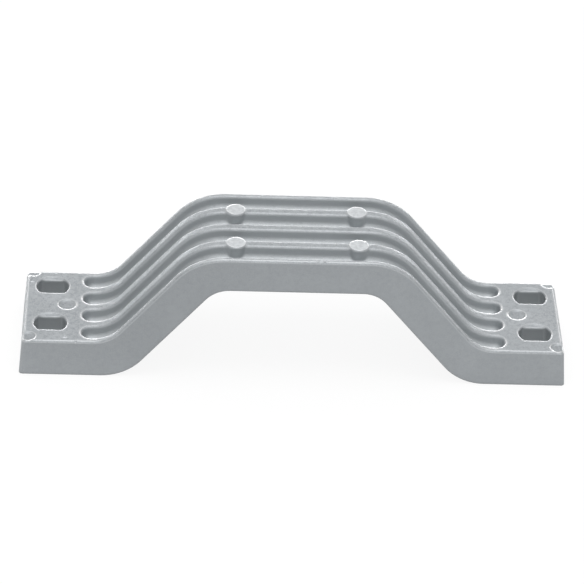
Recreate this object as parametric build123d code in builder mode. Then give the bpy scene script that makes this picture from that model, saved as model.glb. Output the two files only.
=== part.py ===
from build123d import *

import os
from math import radians, sin, tan

# Sacrificial anode bar for an outboard bracket, millimetres.
# One die casting: two flat slotted feet, two sloped legs and a raised bridge between them.
# X runs along the bar, Y across it and Z up. The origin is under the middle of the bridge,
# in the plane that the feet are bolted down on.

# Overall bar
BAR_LENGTH = 217.0
BAR_WIDTH = 50.0
BAR_HEIGHT = 55.6
FOOT_LENGTH = 42.0
FOOT_THICKNESS = 15.8
LEG_WALL = 15.2
BRIDGE_THICKNESS = 14.1
LEG_ANGLE = 50.0

# Bends of the side profile: at the heel and under the bridge, then above the foot and at the crest
HEEL_RADIUS = 21.0
ARCH_RADIUS = 12.0
FOOT_BEND_RADIUS = 14.4
CREST_RADIUS = 25.0

# Die draft of the flanks and of the two ends, the rounded upright corners and the broken top rim
FLANK_DRAFT = 0.5
END_DRAFT = 5.0
UPRIGHT_RADIUS = 1.5
TOP_RIM_CHAMFER = 0.8

# Grooves along the top, parted by narrow ribs: steep walls down to a rounded floor
GROOVE_COUNT = 4
GROOVE_SIDE_INSET = 7.0
GROOVE_WIDTH = 8.0
GROOVE_WALL_DEPTH = 3.3
GROOVE_DEPTH = 5.3
GROOVE_WALL_DRAFT = 8.0
GROOVE_RUNOUT = 0.2
GROOVE_LIP = 0.5

# Ejector pads on the bridge, on the rib before and the rib after the middle one
PAD_DIAMETER = 8.2
PAD_INSET = 15.6
PAD_RIB_STEP = 2
PAD_RISE = 0.4
PAD_EDGE = 0.3

# The holes and marks of the feet sit a little behind the middle of the bar
FOOT_PATTERN_Y = 1.3

# Bolt slots: a round hole with two flats, of which the back one stops short of the top as a ledge
SLOT_END_INSET = 12.0
SLOT_SIDE_INSET = 12.0
SLOT_LENGTH = 13.0
SLOT_WIDTH = 9.5
SLOT_LEDGE_DEPTH = 0.6
SLOT_LIP = 0.4

# Sunk ejector marks on the feet
MARK_DEPTH = 0.6
MARK_TAPER = 12.0
MIDDLE_MARK_DIAMETER = 7.0
MIDDLE_MARK_END_INSET = 18.2
CORNER_MARK_DIAMETER = 5.6
CORNER_MARK_END_INSET = 3.7
CORNER_MARK_SIDE_INSET = 2.4

# How far a cutting shape stands clear of the surface that it cuts
CUT_CLEARANCE = 3.0

# Corners of the side profile
leg_run = 1 / tan(radians(LEG_ANGLE))
leg_shift = LEG_WALL / sin(radians(LEG_ANGLE))
bridge_underside = BAR_HEIGHT - BRIDGE_THICKNESS
foot_end_x = BAR_LENGTH / 2
foot_end_top_x = foot_end_x - FOOT_THICKNESS * tan(radians(END_DRAFT))
heel_x = foot_end_x - FOOT_LENGTH
arch_x = heel_x - bridge_underside * leg_run
foot_bend_x = heel_x + leg_shift - FOOT_THICKNESS * leg_run
crest_x = heel_x + leg_shift - BAR_HEIGHT * leg_run

# Grooves: their pitch, where their rounded ends are centred, and the half widths of their section
groove_pitch = (BAR_WIDTH - 2 * GROOVE_SIDE_INSET) / (GROOVE_COUNT - 1)
groove_end_x = foot_bend_x + FOOT_BEND_RADIUS * tan(radians(LEG_ANGLE / 2)) + GROOVE_RUNOUT
groove_wall_slope = tan(radians(GROOVE_WALL_DRAFT))
groove_floor_half = GROOVE_WIDTH / 2 - GROOVE_WALL_DEPTH * groove_wall_slope
groove_top_half = GROOVE_WIDTH / 2 + CUT_CLEARANCE * groove_wall_slope

# Spacings of the slots, the marks and the pads
slot_spacing_x = BAR_LENGTH - 2 * SLOT_END_INSET
slot_spacing_y = BAR_WIDTH - 2 * SLOT_SIDE_INSET
middle_mark_spacing_x = BAR_LENGTH - 2 * MIDDLE_MARK_END_INSET
corner_mark_spacing_x = BAR_LENGTH - 2 * CORNER_MARK_END_INSET
corner_mark_spacing_y = BAR_WIDTH - 2 * CORNER_MARK_SIDE_INSET
pad_spacing_x = 2 * (crest_x - PAD_INSET)


def edges_of_one_face(faces: ShapeList) -> ShapeList:
    """Give the edges that only one of the faces has: the rim of the surface they make up."""
    all_edges = ShapeList(edge for face in faces for edge in face.edges())
    return ShapeList(edge for edge in all_edges if all_edges.count(edge) == 1)


# Cutter for one groove: its section swept over legs and bridge, turned round at both feet
with BuildPart() as groove_cutter:
    with BuildLine(Plane.XZ) as groove_path:
        FilletPolyline(
            (-groove_end_x, FOOT_THICKNESS),
            (-foot_bend_x, FOOT_THICKNESS),
            (-crest_x, BAR_HEIGHT),
            (crest_x, BAR_HEIGHT),
            (foot_bend_x, FOOT_THICKNESS),
            (groove_end_x, FOOT_THICKNESS),
            radius=[FOOT_BEND_RADIUS, CREST_RADIUS, CREST_RADIUS, FOOT_BEND_RADIUS],
        )
    with BuildSketch(Plane(origin=groove_path.line @ 0, x_dir=(0, 1, 0), z_dir=(1, 0, 0))) as groove_section:
        with BuildLine():
            Polyline(
                (-groove_floor_half, -GROOVE_WALL_DEPTH),
                (-groove_top_half, CUT_CLEARANCE),
                (groove_top_half, CUT_CLEARANCE),
                (groove_floor_half, -GROOVE_WALL_DEPTH),
            )
            ThreePointArc(
                (groove_floor_half, -GROOVE_WALL_DEPTH),
                (0, -GROOVE_DEPTH),
                (-groove_floor_half, -GROOVE_WALL_DEPTH),
            )
        make_face()
    sweep(path=groove_path.line)
    for path_end, half_turn in ((0, 180), (1, -180)):
        with BuildSketch(Plane(origin=groove_path.line @ path_end, x_dir=(0, 1, 0), z_dir=(1, 0, 0))):
            add(groove_section.sketch_local)
            split(bisect_by=Plane.YZ)
        revolve(axis=Axis(groove_path.line @ path_end, (0, 0, 1)), revolution_arc=half_turn)

# Cutter for one bolt slot: the mouth with its front flat, and under its ledge the hole between two flats
with BuildPart() as slot_cutter:
    with BuildSketch(Plane.XY.offset(FOOT_THICKNESS - SLOT_LEDGE_DEPTH)):
        Circle(SLOT_LENGTH / 2)
        with Locations((0, -SLOT_WIDTH / 2)):
            Rectangle(SLOT_LENGTH, SLOT_LENGTH, align=(Align.CENTER, Align.MIN), mode=Mode.INTERSECT)
    extrude(amount=SLOT_LEDGE_DEPTH + CUT_CLEARANCE)
    with BuildSketch(Plane.XY.offset(-CUT_CLEARANCE)):
        Circle(SLOT_LENGTH / 2)
        Rectangle(SLOT_LENGTH, SLOT_WIDTH, mode=Mode.INTERSECT)
    extrude(amount=FOOT_THICKNESS - SLOT_LEDGE_DEPTH + CUT_CLEARANCE)

# The bar itself
with BuildPart() as anode_bar:
    # Side profile, mirrored about the middle of the bar and cut to the width with its draft
    with BuildSketch(Plane.XZ):
        with BuildLine():
            FilletPolyline(
                (0, bridge_underside),
                (arch_x, bridge_underside),
                (heel_x, 0),
                (foot_end_x, 0),
                radius=[ARCH_RADIUS, HEEL_RADIUS],
            )
            Line((foot_end_x, 0), (foot_end_top_x, FOOT_THICKNESS))
            FilletPolyline(
                (foot_end_top_x, FOOT_THICKNESS),
                (foot_bend_x, FOOT_THICKNESS),
                (crest_x, BAR_HEIGHT),
                (0, BAR_HEIGHT),
                radius=[FOOT_BEND_RADIUS, CREST_RADIUS],
            )
            mirror(about=Plane.YZ)
        make_face()
    extrude(amount=BAR_WIDTH, both=True)
    with BuildSketch(Plane.YZ):
        Trapezoid(BAR_WIDTH, BAR_HEIGHT, 90 - FLANK_DRAFT, align=(Align.CENTER, Align.MIN))
    extrude(amount=BAR_LENGTH, both=True, mode=Mode.INTERSECT)

    # Rounded upright corners at the two ends
    end_faces = anode_bar.faces().sort_by(Axis.X)
    fillet(
        ShapeList([end_faces[0], end_faces[-1]]).edges().filter_by(Axis.Y, reverse=True),
        radius=UPRIGHT_RADIUS,
    )

    # Broken rim of the whole top surface
    top_faces = anode_bar.faces().filter_by(lambda face: face.normal_at(face.center()).Z > 0.3)
    chamfer(edges_of_one_face(top_faces), length=TOP_RIM_CHAMFER)

    # Grooves from foot to foot, with broken lips
    with GridLocations(BAR_LENGTH, groove_pitch, 1, GROOVE_COUNT):
        add(groove_cutter.part, mode=Mode.SUBTRACT)
    lips = anode_bar.edges(Select.LAST).filter_by(Axis.Y, reverse=True).filter_by(
        lambda edge: min(face.distance_to(edge @ 0.5) for face in top_faces) < 0.01
    )
    chamfer(lips, length=GROOVE_LIP)

    # Ejector pads, standing on the groove floors and a little proud of the ribs
    with BuildSketch(Plane.XY.offset(BAR_HEIGHT - GROOVE_DEPTH)):
        with GridLocations(pad_spacing_x, groove_pitch * PAD_RIB_STEP, 2, 2):
            Circle(PAD_DIAMETER / 2)
    extrude(amount=GROOVE_DEPTH + PAD_RISE)
    chamfer(anode_bar.faces().group_by(Axis.Z)[-1].edges(), length=PAD_EDGE)

    # Bolt slots with broken rims
    with Locations((0, FOOT_PATTERN_Y)):
        with GridLocations(slot_spacing_x, slot_spacing_y, 2, 2):
            add(slot_cutter.part, mode=Mode.SUBTRACT)
    slot_rims = anode_bar.edges(Select.LAST).filter_by(lambda edge: abs((edge @ 0.5).Z - FOOT_THICKNESS) < 0.01)
    chamfer(slot_rims, length=SLOT_LIP)

    # Sunk ejector marks: one in the middle of each foot and one in each corner
    with BuildSketch(Plane.XY.offset(FOOT_THICKNESS)):
        with Locations((0, FOOT_PATTERN_Y)):
            with GridLocations(middle_mark_spacing_x, BAR_WIDTH, 2, 1):
                Circle(MIDDLE_MARK_DIAMETER / 2)
            with GridLocations(corner_mark_spacing_x, corner_mark_spacing_y, 2, 2):
                Circle(CORNER_MARK_DIAMETER / 2)
    extrude(amount=-MARK_DEPTH, taper=MARK_TAPER, mode=Mode.SUBTRACT)

os.makedirs("parts", exist_ok=True)
anode_bar.part.label = "anode_bar"
export_step(anode_bar.part, "parts/anode_bar.step")
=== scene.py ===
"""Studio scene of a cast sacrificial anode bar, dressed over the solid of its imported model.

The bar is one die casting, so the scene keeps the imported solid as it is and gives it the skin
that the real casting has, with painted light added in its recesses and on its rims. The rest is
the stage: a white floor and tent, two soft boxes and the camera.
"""

import logging
import math
from dataclasses import dataclass
from enum import Enum
from typing import Any, Optional, Union

import bpy
from mathutils import Matrix, Vector

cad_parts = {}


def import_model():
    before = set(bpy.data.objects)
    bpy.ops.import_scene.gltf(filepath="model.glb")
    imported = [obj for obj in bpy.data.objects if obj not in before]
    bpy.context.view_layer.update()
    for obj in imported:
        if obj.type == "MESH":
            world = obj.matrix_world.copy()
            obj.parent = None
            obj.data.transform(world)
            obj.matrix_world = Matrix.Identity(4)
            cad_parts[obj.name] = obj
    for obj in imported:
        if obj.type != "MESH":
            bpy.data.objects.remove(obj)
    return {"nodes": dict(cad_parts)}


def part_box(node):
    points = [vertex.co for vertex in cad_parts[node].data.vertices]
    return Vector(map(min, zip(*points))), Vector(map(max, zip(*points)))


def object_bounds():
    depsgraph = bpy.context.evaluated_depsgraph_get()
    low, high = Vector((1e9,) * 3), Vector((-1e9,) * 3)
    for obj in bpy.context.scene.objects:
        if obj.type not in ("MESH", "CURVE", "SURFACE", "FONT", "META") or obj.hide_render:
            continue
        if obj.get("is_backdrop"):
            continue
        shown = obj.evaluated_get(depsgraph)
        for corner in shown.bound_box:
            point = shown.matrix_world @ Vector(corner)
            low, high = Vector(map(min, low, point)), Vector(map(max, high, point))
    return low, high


LOG = logging.getLogger("anode_bar_scene")

MM = 0.001
FRAME_PIXELS = 584
SENSOR_MM = 36.0
# Rays that a material's own nodes send out from a point to find the surfaces round it
SHADER_SAMPLES = 8
# Inputs and output of Blender's mix node, which numbers them apart for numbers and for colours
MIX_SHARE = 0
MIX_NUMBERS = (2, 3)
MIX_COLOURS = (6, 7)
MIXED_NUMBER = 0
MIXED_COLOUR = 2

Colour = tuple[float, float, float, float]
Tree = bpy.types.NodeTree
Socket = bpy.types.NodeSocket


@dataclass(frozen=True)
class Span:
    """A run of values over which a share grows from none to full."""

    none: float
    full: float

    def metres(self) -> "Span":
        """Give the span of a length in metres, from one in millimetres."""
        return Span(self.none * MM, self.full * MM)


UNIT_SPAN = Span(0.0, 1.0)


def srgb_to_linear(code: str) -> Colour:
    """Turn an sRGB hex colour into the linear colour that shaders take.

    Args:
        code: Six hex digits, two each for red, green and blue.

    Returns:
        Linear red, green, blue and an alpha of one.
    """
    channels = []
    for start in (0, 2, 4):
        value = int(code[start : start + 2], 16) / 255
        channels.append(value / 12.92 if value <= 0.04045 else ((value + 0.055) / 1.055) ** 2.4)
    return (channels[0], channels[1], channels[2], 1.0)


def add_node(
    tree: Tree,
    kind: str,
    settings: Optional[dict[Any, Any]] = None,
    links: Optional[dict[Any, Socket]] = None,
) -> bpy.types.Node:
    """Add one node to a tree with its settings and links.

    Args:
        tree: The node tree that takes the node.
        kind: Blender's name for the type of node.
        settings: Values for the node's own properties, or for its inputs by name or number.
        links: The output that feeds each input, by the input's name or number.

    Returns:
        The new node.
    """
    node = tree.nodes.new(kind)
    for key, value in (settings or {}).items():
        if isinstance(key, str) and hasattr(node, key):
            setattr(node, key, value)
        else:
            node.inputs[key].default_value = value
    for key, socket in (links or {}).items():
        tree.links.new(socket, node.inputs[key])
    return node


def join_values(tree: Tree, operation: str, first: Socket, second: Union[float, Socket]) -> Socket:
    """Join two values by one of Blender's math operations.

    Args:
        tree: The node tree.
        operation: Blender's name for the operation.
        first: The first value.
        second: The second value, either a number or another output.

    Returns:
        The result.
    """
    if isinstance(second, float):
        node = add_node(tree, "ShaderNodeMath", {"operation": operation, 1: second}, {0: first})
    else:
        node = add_node(tree, "ShaderNodeMath", {"operation": operation}, {0: first, 1: second})
    return node.outputs[0]


def ramp(tree: Tree, value: Socket, span: Span, low: float = 0.0, high: float = 1.0) -> Socket:
    """Turn a value into a share that runs from low to high over a span, and holds outside it.

    Args:
        tree: The node tree.
        value: The value to turn.
        span: Where the share is low and where it is high.
        low: The share at the start of the span.
        high: The share at its end.

    Returns:
        The share.
    """
    settings = {"From Min": span.none, "From Max": span.full, "To Min": low, "To Max": high}
    return add_node(tree, "ShaderNodeMapRange", settings, {"Value": value}).outputs[0]


def mix_tones(
    tree: Tree, share: Socket, first: Union[Colour, Socket], second: Union[Colour, Socket]
) -> Socket:
    """Mix two colours, each either plain or another output.

    Args:
        tree: The node tree.
        share: How much of the second colour there is.
        first: The colour where the share is zero.
        second: The colour where the share is one.

    Returns:
        The mixed colour.
    """
    settings: dict[Any, Any] = {"data_type": "RGBA"}
    links: dict[Any, Socket] = {MIX_SHARE: share}
    for key, tone in zip(MIX_COLOURS, (first, second)):
        if isinstance(tone, tuple):
            settings[key] = tone
        else:
            links[key] = tone
    return add_node(tree, "ShaderNodeMix", settings, links).outputs[MIXED_COLOUR]


def mix_numbers(tree: Tree, share: Socket, first: float, second: float) -> Socket:
    """Mix two plain numbers by a share of the second."""
    settings = {"data_type": "FLOAT", MIX_NUMBERS[0]: first, MIX_NUMBERS[1]: second}
    return add_node(tree, "ShaderNodeMix", settings, {MIX_SHARE: share}).outputs[MIXED_NUMBER]


def part_along(tree: Tree, vector: Socket, axis: str) -> Socket:
    """Give the part of a vector along X, Y or Z."""
    return add_node(tree, "ShaderNodeSeparateXYZ", links={0: vector}).outputs[axis]


def new_tree(block: Union[bpy.types.Material, bpy.types.World]) -> Tree:
    """Turn a material's or world's nodes on, and give its emptied tree."""
    block.use_nodes = True
    block.node_tree.nodes.clear()
    return block.node_tree


@dataclass(frozen=True)
class Nick:
    """A small knock in the casting, placed on its surface in millimetres."""

    place_mm: tuple[float, float, float]
    radius_mm: float


@dataclass(frozen=True)
class Bloom:
    """A tint of the oxide skin, which comes out as a noise field rises over a span."""

    tone: str
    span: Span
    share: float


@dataclass(frozen=True)
class CastAlloySkin:
    """Aluminium anode alloy, die cast and left bare.

    The melt sets against a coated steel die, which leaves a dull, cool grey oxide skin on bright
    metal. Open faces keep the grain of the die's coating, while the flanks slide along the die on
    the way out and come off smoother. Faces that the ejector pins push are pressed smooth and stay
    paler. Recesses are painted paler, as painted light that lifts their shade. Edges that rub in
    the tumbler and in the box wear through to bright metal, and the same edge colour carries a
    painted highlight, taken down as painted shade on the lips that lean forward. Where the grooves
    run out, the rims that lean back carry a painted near-white highlight.
    """

    skin: str = "9A9EA1"
    cloud_bloom: Bloom = Bloom("B6B9BC", Span(0.45, 0.75), 0.4)
    mottle_bloom: Bloom = Bloom("878B8E", Span(0.45, 0.7), 0.8)
    grain_bloom: Bloom = Bloom("B6B9BC", Span(0.45, 0.7), 0.7)
    # Paler tone in recesses: painted light that lifts their shade
    painted_recess_light: str = "BABEC0"
    pin_face: str = "C8CBCD"
    # Edge colour: partly metal worn bare, partly a painted highlight
    bare_and_highlight_edge: str = "C8CACB"
    # Near-white painted highlight on the rims that lean back at the grooves' ends
    painted_rim_highlight: str = "FAFAFA"
    metallic: float = 0.75
    skin_roughness: float = 0.5
    edge_roughness: float = 0.3
    # Clouds of the die coating run to about a centimetre, and its grain to about half a millimetre
    cloud_mm: float = 11.0
    mottle_mm: float = 1.6
    grain_mm: float = 0.45
    blot_detail: float = 2.0
    grain_detail: float = 3.0
    noise_roughness: float = 0.55
    grain_height_mm: float = 0.03
    # Height of a face's normal, from a flank to an open face, and least height on a level face
    open_face: Span = Span(0.15, 0.7)
    level_face: float = 0.9
    # Smallest share of mottle and grain, left on the flanks that slid along the die
    flank_grain: float = 0.25
    # A pressed pad takes at least this share of its tone, by the mottle under it
    pressed_least: float = 0.6
    pressed_mottle: Span = Span(0.4, 0.6)
    # Share of open air within this reach, from an open face down to the bottom of a slot
    recess_mm: float = 20.0
    recess_air: Span = Span(0.8, 0.2)
    # The shading's own rounding of the edges, and how far in from an edge the wear and painted
    # highlight reach
    rounding_mm: float = 1.6
    edge_mm: float = 0.5
    highlight_edge_mm: float = 1.3
    # Share of metal within that reach behind the surface, from an open face to an edge
    edge_backing: Span = Span(0.99, 0.8)
    worn_least: float = 0.5
    worn_mottle: Span = Span(0.3, 0.6)
    # The rims with the painted near-white highlight: between these distances from the middle, and
    # on the rims that lean back
    highlight_start_mm: Span = Span(72.0, 79.0)
    highlight_end_mm: Span = Span(86.8, 86.2)
    highlight_lean: Span = Span(-0.25, -0.02)
    # Share of the painted rim highlight on the feet's other rims and on the pads'
    foot_rim_share: float = 0.35
    pin_rim_share: float = 0.5
    # Lips that lean forward behind the front rim keep only this share of the wear and highlight,
    # as painted shade
    shaded_lip_share: float = 0.25
    shaded_lip_lean: Span = Span(-0.08, -0.35)
    shaded_lip_from_mm: Span = Span(-23.2, -22.8)
    nick_depth_mm: float = 0.3

    def build(self, pin_face_height: float, nicks: tuple[Nick, ...]) -> bpy.types.Material:
        """Make the material.

        Args:
            pin_face_height: Height in metres above which only the ejector pads' faces reach.
            nicks: The small knocks in the skin.

        Returns:
            The finished material.
        """
        material = bpy.data.materials.new("die_cast_anode_alloy")
        tree = new_tree(material)
        place = add_node(tree, "ShaderNodeTexCoord").outputs["Object"]
        surface = add_node(tree, "ShaderNodeNewGeometry").outputs["Normal"]
        mottle = self._noise(tree, place, self.mottle_mm, self.blot_detail)
        grain = self._noise(tree, place, self.grain_mm, self.grain_detail)
        upward = part_along(tree, surface, "Z")
        openness = ramp(tree, upward, self.open_face, low=self.flank_grain)
        rounding = {"samples": SHADER_SAMPLES, "Radius": self.rounding_mm * MM}
        soft = add_node(tree, "ShaderNodeBevel", rounding).outputs[0]
        height = part_along(tree, place, "Z")
        above = join_values(tree, "GREATER_THAN", height, pin_face_height)
        pin = self._pin_faces(tree, above, upward, mottle)
        # Painted rim highlight on the grooves' ends and on the pads' rims
        rim_highlight = join_values(
            tree,
            "MAXIMUM",
            self._painted_highlight_rims(tree, place, soft),
            join_values(tree, "MULTIPLY", pin, self.pin_rim_share),
        )
        # Edge wear and painted highlight, taken down on forward-leaning lips as painted shade
        wear_and_highlight = join_values(
            tree,
            "MULTIPLY",
            self._wear_and_highlight_edges(tree, mottle, rim_highlight, openness),
            self._forward_lip_shade(tree, place, soft),
        )
        colour = self._skin_colour(tree, place, mottle, grain, openness)
        # Recesses painted paler: painted light over their shade
        colour = mix_tones(tree, self._painted_recess_light_mask(tree), colour, srgb_to_linear(self.painted_recess_light))
        colour = mix_tones(tree, pin, colour, srgb_to_linear(self.pin_face))
        rim_tones = (srgb_to_linear(self.bare_and_highlight_edge), srgb_to_linear(self.painted_rim_highlight))
        edge_wear_and_highlight = mix_tones(tree, rim_highlight, *rim_tones)
        colour = mix_tones(tree, wear_and_highlight, colour, edge_wear_and_highlight)
        roughness = mix_numbers(tree, wear_and_highlight, self.skin_roughness, self.edge_roughness)
        relief = add_node(
            tree,
            "ShaderNodeBump",
            {"Distance": self.grain_height_mm * MM},
            {"Strength": openness, "Height": grain, "Normal": soft},
        ).outputs[0]
        for nick in nicks:
            relief = self._nick_relief(tree, place, nick, relief)
        shader = add_node(
            tree,
            "ShaderNodeBsdfPrincipled",
            {"Metallic": self.metallic},
            {"Base Color": colour, "Roughness": roughness, "Normal": relief},
        )
        add_node(tree, "ShaderNodeOutputMaterial", links={"Surface": shader.outputs[0]})
        return material

    def _noise(self, tree: Tree, place: Socket, size_mm: float, detail: float) -> Socket:
        """Give a noise field whose blots are about the given size in millimetres."""
        settings = {
            "Scale": 1 / (size_mm * MM),
            "Detail": detail,
            "Roughness": self.noise_roughness,
        }
        return add_node(tree, "ShaderNodeTexNoise", settings, {"Vector": place}).outputs[0]

    def _skin_colour(
        self, tree: Tree, place: Socket, mottle: Socket, grain: Socket, openness: Socket
    ) -> Socket:
        """Cloud and mottle the skin's colour.

        Args:
            tree: The material's node tree.
            place: The object's own coordinates.
            mottle: The noise field of the mottle.
            grain: The finest noise field.
            openness: How much of the mottle and grain each face keeps.

        Returns:
            The colour of the oxide skin.
        """
        clouds = self._noise(tree, place, self.cloud_mm, self.blot_detail)
        layers = (
            (clouds, self.cloud_bloom),
            (mottle, self.mottle_bloom),
            (grain, self.grain_bloom),
        )
        colour: Union[Colour, Socket] = srgb_to_linear(self.skin)
        for field, bloom in layers:
            amount = ramp(tree, field, bloom.span, high=bloom.share)
            amount = join_values(tree, "MULTIPLY", amount, openness)
            colour = mix_tones(tree, amount, colour, srgb_to_linear(bloom.tone))
        return colour

    def _painted_recess_light_mask(self, tree: Tree) -> Socket:
        """Find the recesses that are painted paler as painted light, from zero on open faces to
        one where hardly any air is near.
        """
        settings = {"samples": SHADER_SAMPLES, "only_local": True, "Distance": self.recess_mm * MM}
        air = add_node(tree, "ShaderNodeAmbientOcclusion", settings).outputs["AO"]
        return ramp(tree, air, self.recess_air)

    def _pin_faces(self, tree: Tree, above: Socket, upward: Socket, mottle: Socket) -> Socket:
        """Find the faces that the ejector pins pressed.

        Args:
            tree: The material's node tree.
            above: One above the height that only those faces reach, and zero below it.
            upward: The height of the normal.
            mottle: The noise field of the mottle.

        Returns:
            How much of the pressed tone there is, from zero to one.
        """
        level = join_values(tree, "GREATER_THAN", upward, self.level_face)
        face = join_values(tree, "MULTIPLY", above, level)
        pressed = ramp(tree, mottle, self.pressed_mottle, low=self.pressed_least)
        return join_values(tree, "MULTIPLY", face, pressed)

    def _painted_highlight_rims(self, tree: Tree, place: Socket, soft: Socket) -> Socket:
        """Give one on the rims of the grooves' ends that get the painted near-white highlight, and
        zero on the rest.

        Args:
            tree: The material's node tree.
            place: The object's own coordinates.
            soft: The normal with its edges rounded, which leans back on a groove's front rim.

        Returns:
            A share from zero to one.
        """
        along = part_along(tree, place, "X")
        settings = {"operation": "ABSOLUTE"}
        distance = add_node(tree, "ShaderNodeMath", settings, {0: along}).outputs[0]
        started = ramp(tree, distance, self.highlight_start_mm.metres())
        going = ramp(tree, distance, self.highlight_end_mm.metres(), low=self.foot_rim_share)
        leaning = ramp(tree, part_along(tree, soft, "Y"), self.highlight_lean)
        share = join_values(tree, "MULTIPLY", started, going)
        return join_values(tree, "MULTIPLY", share, leaning)

    def _forward_lip_shade(self, tree: Tree, place: Socket, soft: Socket) -> Socket:
        """Give the share of edge wear and painted highlight that an edge keeps: less on lips that
        lean forward behind the front rim, as painted shade.

        Args:
            tree: The material's node tree.
            place: The object's own coordinates.
            soft: The normal with its edges rounded, which leans forward on a groove's back rim.

        Returns:
            A share up to one.
        """
        # Forward-leaning lips behind the front rim lose most of the wear and highlight: painted
        # shade
        leaning = ramp(tree, part_along(tree, soft, "Y"), self.shaded_lip_lean)
        behind = ramp(tree, part_along(tree, place, "Y"), self.shaded_lip_from_mm.metres())
        shaded_lip = join_values(tree, "MULTIPLY", leaning, behind)
        return ramp(tree, shaded_lip, UNIT_SPAN, low=1.0, high=self.shaded_lip_share)

    def _wear_and_highlight_edges(self, tree: Tree, mottle: Socket, rim_highlight: Socket, openness: Socket) -> Socket:
        """Find the edges that take wear and a painted highlight: where the metal behind the
        surface is thin, it ends at an edge.

        Args:
            tree: The material's node tree.
            mottle: The noise field of the mottle.
            rim_highlight: One on the rims with the painted highlight, which are wider, and zero on
                the rest.
            openness: How far each face turns up; the wear and painted highlight keep to faces that
                turn up.

        Returns:
            A share from zero on open faces to one on an outer edge.
        """
        reach = ramp(tree, rim_highlight, UNIT_SPAN, self.edge_mm * MM, self.highlight_edge_mm * MM)
        settings = {"samples": SHADER_SAMPLES, "inside": True}
        thickness = add_node(tree, "ShaderNodeAmbientOcclusion", settings, {"Distance": reach})
        edge_wear_and_highlight = ramp(tree, thickness.outputs["AO"], self.edge_backing)
        patchy = ramp(tree, mottle, self.worn_mottle, low=self.worn_least)
        rubbed = join_values(tree, "MULTIPLY", edge_wear_and_highlight, patchy)
        return join_values(tree, "MULTIPLY", rubbed, openness)

    def _nick_relief(self, tree: Tree, place: Socket, nick: Nick, relief: Socket) -> Socket:
        """Sink one nick into the relief.

        Args:
            tree: The material's node tree.
            place: The object's own coordinates.
            nick: The knock to sink.
            relief: The normal that the nick starts from.

        Returns:
            The normal with the nick in it.
        """
        centre = tuple(value * MM for value in nick.place_mm)
        away = add_node(
            tree, "ShaderNodeVectorMath", {"operation": "DISTANCE", 1: centre}, {0: place}
        ).outputs["Value"]
        depth = add_node(
            tree,
            "ShaderNodeMapRange",
            {"interpolation_type": "SMOOTHSTEP", "From Min": 0.0, "From Max": nick.radius_mm * MM},
            {"Value": away},
        ).outputs[0]
        return add_node(
            tree,
            "ShaderNodeBump",
            {"Strength": 1.0, "Distance": self.nick_depth_mm * MM},
            {"Height": depth, "Normal": relief},
        ).outputs[0]


def seen_ray(tree: Tree) -> Socket:
    """Give one on rays of the camera, of gloss and of glass, and zero on the rest."""
    path = add_node(tree, "ShaderNodeLightPath").outputs
    gloss = join_values(tree, "MAXIMUM", path["Is Camera Ray"], path["Is Glossy Ray"])
    return join_values(tree, "MAXIMUM", gloss, path["Is Transmission Ray"])


@dataclass(frozen=True)
class WhitePaperFinish:
    """Matt white studio paper, which shows to the camera and in the metal as plain white."""

    paper: str = "F2F2F2"
    # Share of the plain white in what the camera sees; the rest takes the object's shadow
    plain_share: float = 0.88

    def build(self) -> bpy.types.Material:
        """Make the material of the floor."""
        material = bpy.data.materials.new("matt_white_paper")
        tree = new_tree(material)
        paper = add_node(tree, "ShaderNodeBsdfDiffuse", {"Color": srgb_to_linear(self.paper)})
        white = add_node(tree, "ShaderNodeEmission", {"Strength": 1.0})
        share = join_values(tree, "MULTIPLY", seen_ray(tree), self.plain_share)
        layers = {0: share, 1: paper.outputs[0], 2: white.outputs[0]}
        mixed = add_node(tree, "ShaderNodeMixShader", links=layers)
        add_node(tree, "ShaderNodeOutputMaterial", links={"Surface": mixed.outputs[0]})
        return material


@dataclass
class AnodeBar:
    """The casting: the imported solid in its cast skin."""

    node: str = "anode_bar"
    # The pads' faces stand 0.4 mm above the ribs; the mask starts a little under them
    pin_face_margin_mm: float = 0.25
    nicks: tuple[Nick, ...] = (
        Nick((-90.4, -21.4, 15.9), 1.2),
        Nick((-104.8, 17.4, 15.8), 1.1),
        Nick((-86.0, -24.2, 15.4), 0.7),
        Nick((7.7, -23.6, 55.4), 0.8),
        Nick((10.4, -23.8, 55.4), 0.7),
        Nick((15.6, 22.6, 55.4), 0.8),
    )

    def dress(self, nodes: dict[str, bpy.types.Object]) -> bpy.types.Object:
        """Give the solid its cast skin.

        Args:
            nodes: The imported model's nodes by name.

        Returns:
            The dressed casting.
        """
        casting = nodes[self.node]
        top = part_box(self.node)[1].z
        skin = CastAlloySkin().build(top - self.pin_face_margin_mm * MM, self.nicks)
        casting.data.materials.clear()
        casting.data.materials.append(skin)
        return casting


@dataclass
class PaperFloor:
    """The sheet of white paper that the bar stands on."""

    half_side: float = 6.0
    # A hair under the feet, so that the two faces don't fight for the same plane
    drop_mm: float = 0.1

    def lay(self) -> bpy.types.Object:
        """Lay the sheet under the bar and mark it as stage."""
        side = self.half_side
        corners = [(-side, -side, 0.0), (side, -side, 0.0), (side, side, 0.0), (-side, side, 0.0)]
        mesh = bpy.data.meshes.new("paper_floor")
        mesh.from_pydata(corners, [], [(0, 1, 2, 3)])
        sheet = bpy.data.objects.new("paper_floor", mesh)
        sheet.location.z = -self.drop_mm * MM
        sheet.data.materials.append(WhitePaperFinish().build())
        bpy.context.scene.collection.objects.link(sheet)
        sheet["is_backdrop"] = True
        return sheet


class LampRole(Enum):
    """What each soft box does for the casting."""

    OVERHEAD = "softbox_overhead"
    BACK_STRIP = "softbox_back_strip"


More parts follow.
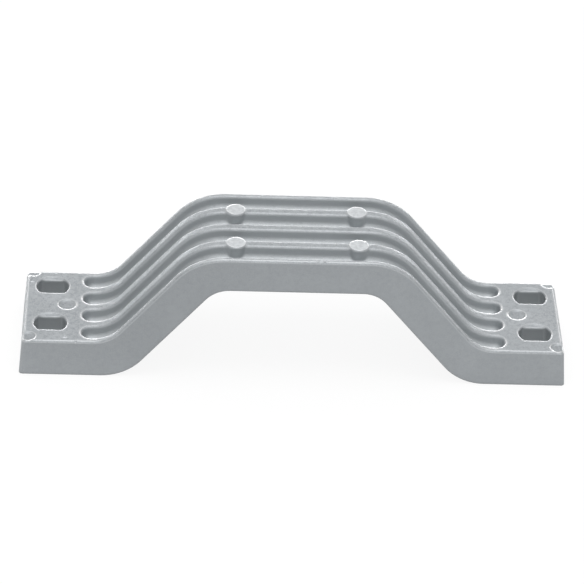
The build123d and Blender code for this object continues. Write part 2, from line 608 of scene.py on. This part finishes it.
@dataclass(frozen=True)
class SoftBox:
    """A soft box that faces the casting."""

    role: LampRole
    place: tuple[float, float, float]
    width: float
    height: float
    watts: float
    aim: tuple[float, float, float] = (0.0, 0.0, 0.03)

    def hang(self) -> bpy.types.Object:
        """Make the lamp and turn it to the casting."""
        lamp = bpy.data.lights.new(self.role.value, "AREA")
        lamp.shape = "RECTANGLE"
        lamp.size = self.width
        lamp.size_y = self.height
        lamp.energy = self.watts
        box = bpy.data.objects.new(self.role.value, lamp)
        box.location = self.place
        box.rotation_mode = "QUATERNION"
        box.rotation_quaternion = (Vector(self.aim) - Vector(self.place)).to_track_quat("-Z", "Y")
        bpy.context.scene.collection.objects.link(box)
        return box


SOFT_BOXES = (
    SoftBox(LampRole.OVERHEAD, place=(0.0, -0.1, 1.2), width=0.8, height=0.6, watts=5.0),
    SoftBox(LampRole.BACK_STRIP, place=(0.0, 1.5, 0.1), width=2.4, height=0.12, watts=11.0),
)


@dataclass
class WhiteTent:
    """The white tent round the table, which lights from all sides and is seen as plain white."""

    white: str = "FFFFFF"
    strength: float = 1.0

    def pitch(self) -> bpy.types.World:
        """Set the world up as the tent."""
        world = bpy.data.worlds.new("white_tent")
        tree = new_tree(world)
        glow = add_node(
            tree,
            "ShaderNodeBackground",
            {"Color": srgb_to_linear(self.white), "Strength": self.strength},
        )
        add_node(tree, "ShaderNodeOutputWorld", links={"Surface": glow.outputs[0]})
        bpy.context.scene.world = world
        return world


@dataclass(frozen=True)
class PhotoCamera:
    """The camera at the photograph's viewing angle, with a long lens and a slight roll."""

    azimuth: float = -2.761
    elevation: float = 33.917
    roll: float = -2.89
    distance_mm: float = 1345.18
    aim_mm: tuple[float, float, float] = (-0.732, -0.852, 25.682)
    focal_pixels: float = 3372.57
    # Nearest and furthest that the camera sees, in metres
    clip_start: float = 0.05
    clip_end: float = 50.0

    def set_up(self) -> bpy.types.Object:
        """Place the camera and make it the scene's own."""
        azimuth = math.radians(self.azimuth)
        elevation = math.radians(self.elevation)
        roll = math.radians(self.roll)
        forward = Vector(
            (
                -math.sin(azimuth) * math.cos(elevation),
                math.cos(azimuth) * math.cos(elevation),
                -math.sin(elevation),
            )
        )
        level = Vector((math.cos(azimuth), math.sin(azimuth), 0.0))
        down = forward.cross(level)
        right = level * math.cos(roll) + down * math.sin(roll)
        up = right.cross(forward)
        lens = bpy.data.cameras.new("photo_camera")
        lens.sensor_width = SENSOR_MM
        lens.lens = self.focal_pixels * SENSOR_MM / FRAME_PIXELS
        lens.clip_start = self.clip_start
        lens.clip_end = self.clip_end
        camera = bpy.data.objects.new("photo_camera", lens)
        turn = Matrix((right, up, -forward)).transposed().to_4x4()
        place = (Vector(self.aim_mm) - forward * self.distance_mm) * MM
        camera.matrix_world = Matrix.Translation(place) @ turn
        bpy.context.scene.collection.objects.link(camera)
        bpy.context.scene.camera = camera
        return camera


def main() -> tuple[Vector, Vector]:
    """Dress the casting and set the studio up round it.

    Returns:
        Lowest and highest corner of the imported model, before anything is added.
    """
    logging.basicConfig(level=logging.INFO, format="%(name)s: %(message)s")
    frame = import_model()
    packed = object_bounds()
    LOG.info("casting: %s", AnodeBar().dress(frame["nodes"]).name)
    LOG.info("floor: %s", PaperFloor().lay().name)
    LOG.info("world: %s", WhiteTent().pitch().name)
    for box in SOFT_BOXES:
        LOG.info("lamp: %s", box.hang().name)
    LOG.info("camera: %s", PhotoCamera().set_up().name)
    bpy.context.scene.view_settings.view_transform = "Standard"
    return packed


if __name__ == "__main__":
    cad_box = main()
